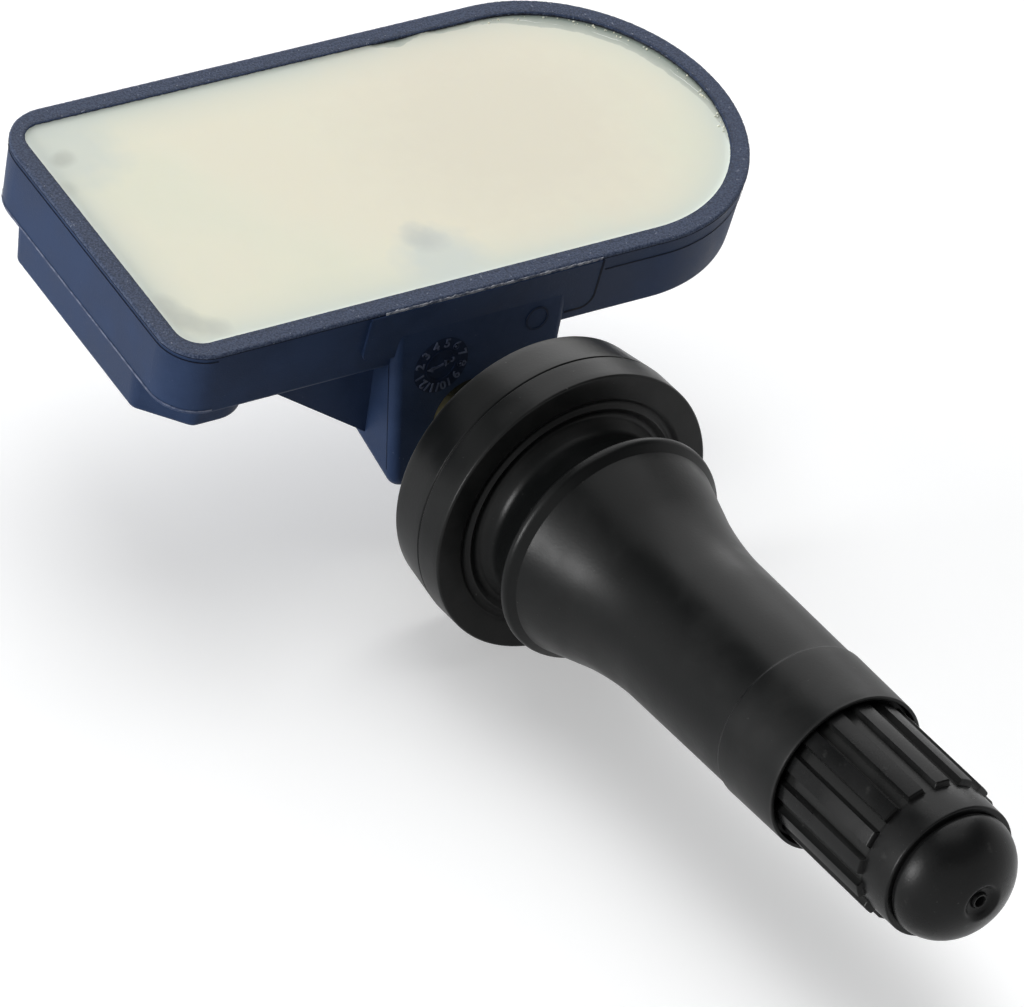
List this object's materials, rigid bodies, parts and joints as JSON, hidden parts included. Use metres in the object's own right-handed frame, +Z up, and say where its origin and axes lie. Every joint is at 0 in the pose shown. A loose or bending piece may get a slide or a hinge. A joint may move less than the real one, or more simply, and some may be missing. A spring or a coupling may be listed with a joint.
{
  "type": "tyre pressure sensor",
  "caption": "Snap-in tyre pressure sensor: a resin-filled D-shaped sensor housing carried on a black rubber tyre valve, with a spring-loaded valve core and a ribbed screw cap.",
  "frame": {"origin": "centre of the flange face that seats on the wheel rim, on the valve's axis", "axes": "-Y out along the valve to its cap, +X along the housing towards its round end, +Z up out of the potted side"},
  "size_m": [0.0461, 0.0748, 0.0223],
  "materials": {
    "navy_plastic": "satin moulded nylon, grainy on the rim",
    "potting_resin": "milky cast resin, satin",
    "valve_rubber": "moulded black rubber, semi-gloss",
    "cap_plastic": "moulded black plastic, satin",
    "stem_brass": "turned, satin",
    "core_brass": "turned, satin",
    "screw_steel": "zinc plated",
    "cell_steel": "drawn nickel-plated can",
    "tab_nickel": "rolled strip",
    "board_laminate": "green solder mask",
    "chip_epoxy": "moulded epoxy",
    "seal_rubber": "soft seal",
    "gasket_resin": "slippery white seal",
    "ferrite": "pressed and fired",
    "winding_copper": "enamelled wire",
    "antenna_copper": "stamped strip",
    "crystal_can": "drawn can",
    "capacitor_ceramic": "fired ceramic with tinned ends",
    "spring_steel": "spring wire"
  },
  "bodies": {
    "sensor": {"housing": "navy_plastic", "potting": "potting_resin", "circuit_board": "board_laminate", "battery_cell": "cell_steel", "pole_tab": "tab_nickel", "can_tab": "tab_nickel", "sensor_chip": "chip_epoxy", "port_seal": "seal_rubber", "coil_core": "ferrite", "coil_winding": "winding_copper", "antenna": "antenna_copper", "crystal": "crystal_can", "capacitors": "capacitor_ceramic", "valve_stem": "stem_brass", "fixing_screw": "screw_steel", "valve_rubber": "valve_rubber", "core_body": "core_brass", "core_gasket": "gasket_resin", "core_spring": "spring_steel"},
    "core_pin": {"core_pin": "core_brass", "cup_seal": "seal_rubber"},
    "washer": {"cap_washer": "seal_rubber"},
    "cap": {"valve_cap": "cap_plastic"}
  },
  "joints": [
    {"name": "pin_press", "type": "slide", "parent": "sensor", "child": "core_pin", "axis": [0, 1, 0], "range_m": [0, 0.001], "stiffness_N_per_m": 1000, "deforming": ["core_spring"]},
    {"name": "cap_lift", "type": "slide", "parent": "sensor", "child": "washer", "axis": [0, -1, 0], "range_m": [0, 0.00873]},
    {"name": "cap_turn", "type": "hinge", "parent": "washer", "child": "cap", "pos_m": [0, -0.0365, 0], "axis": [0, -1, 0], "range_deg": [0, 3960]}
  ],
  "couplings": [
    {"joint": "cap_turn", "follows": "cap_lift", "rad_per_m": 7913.3}
  ]
}
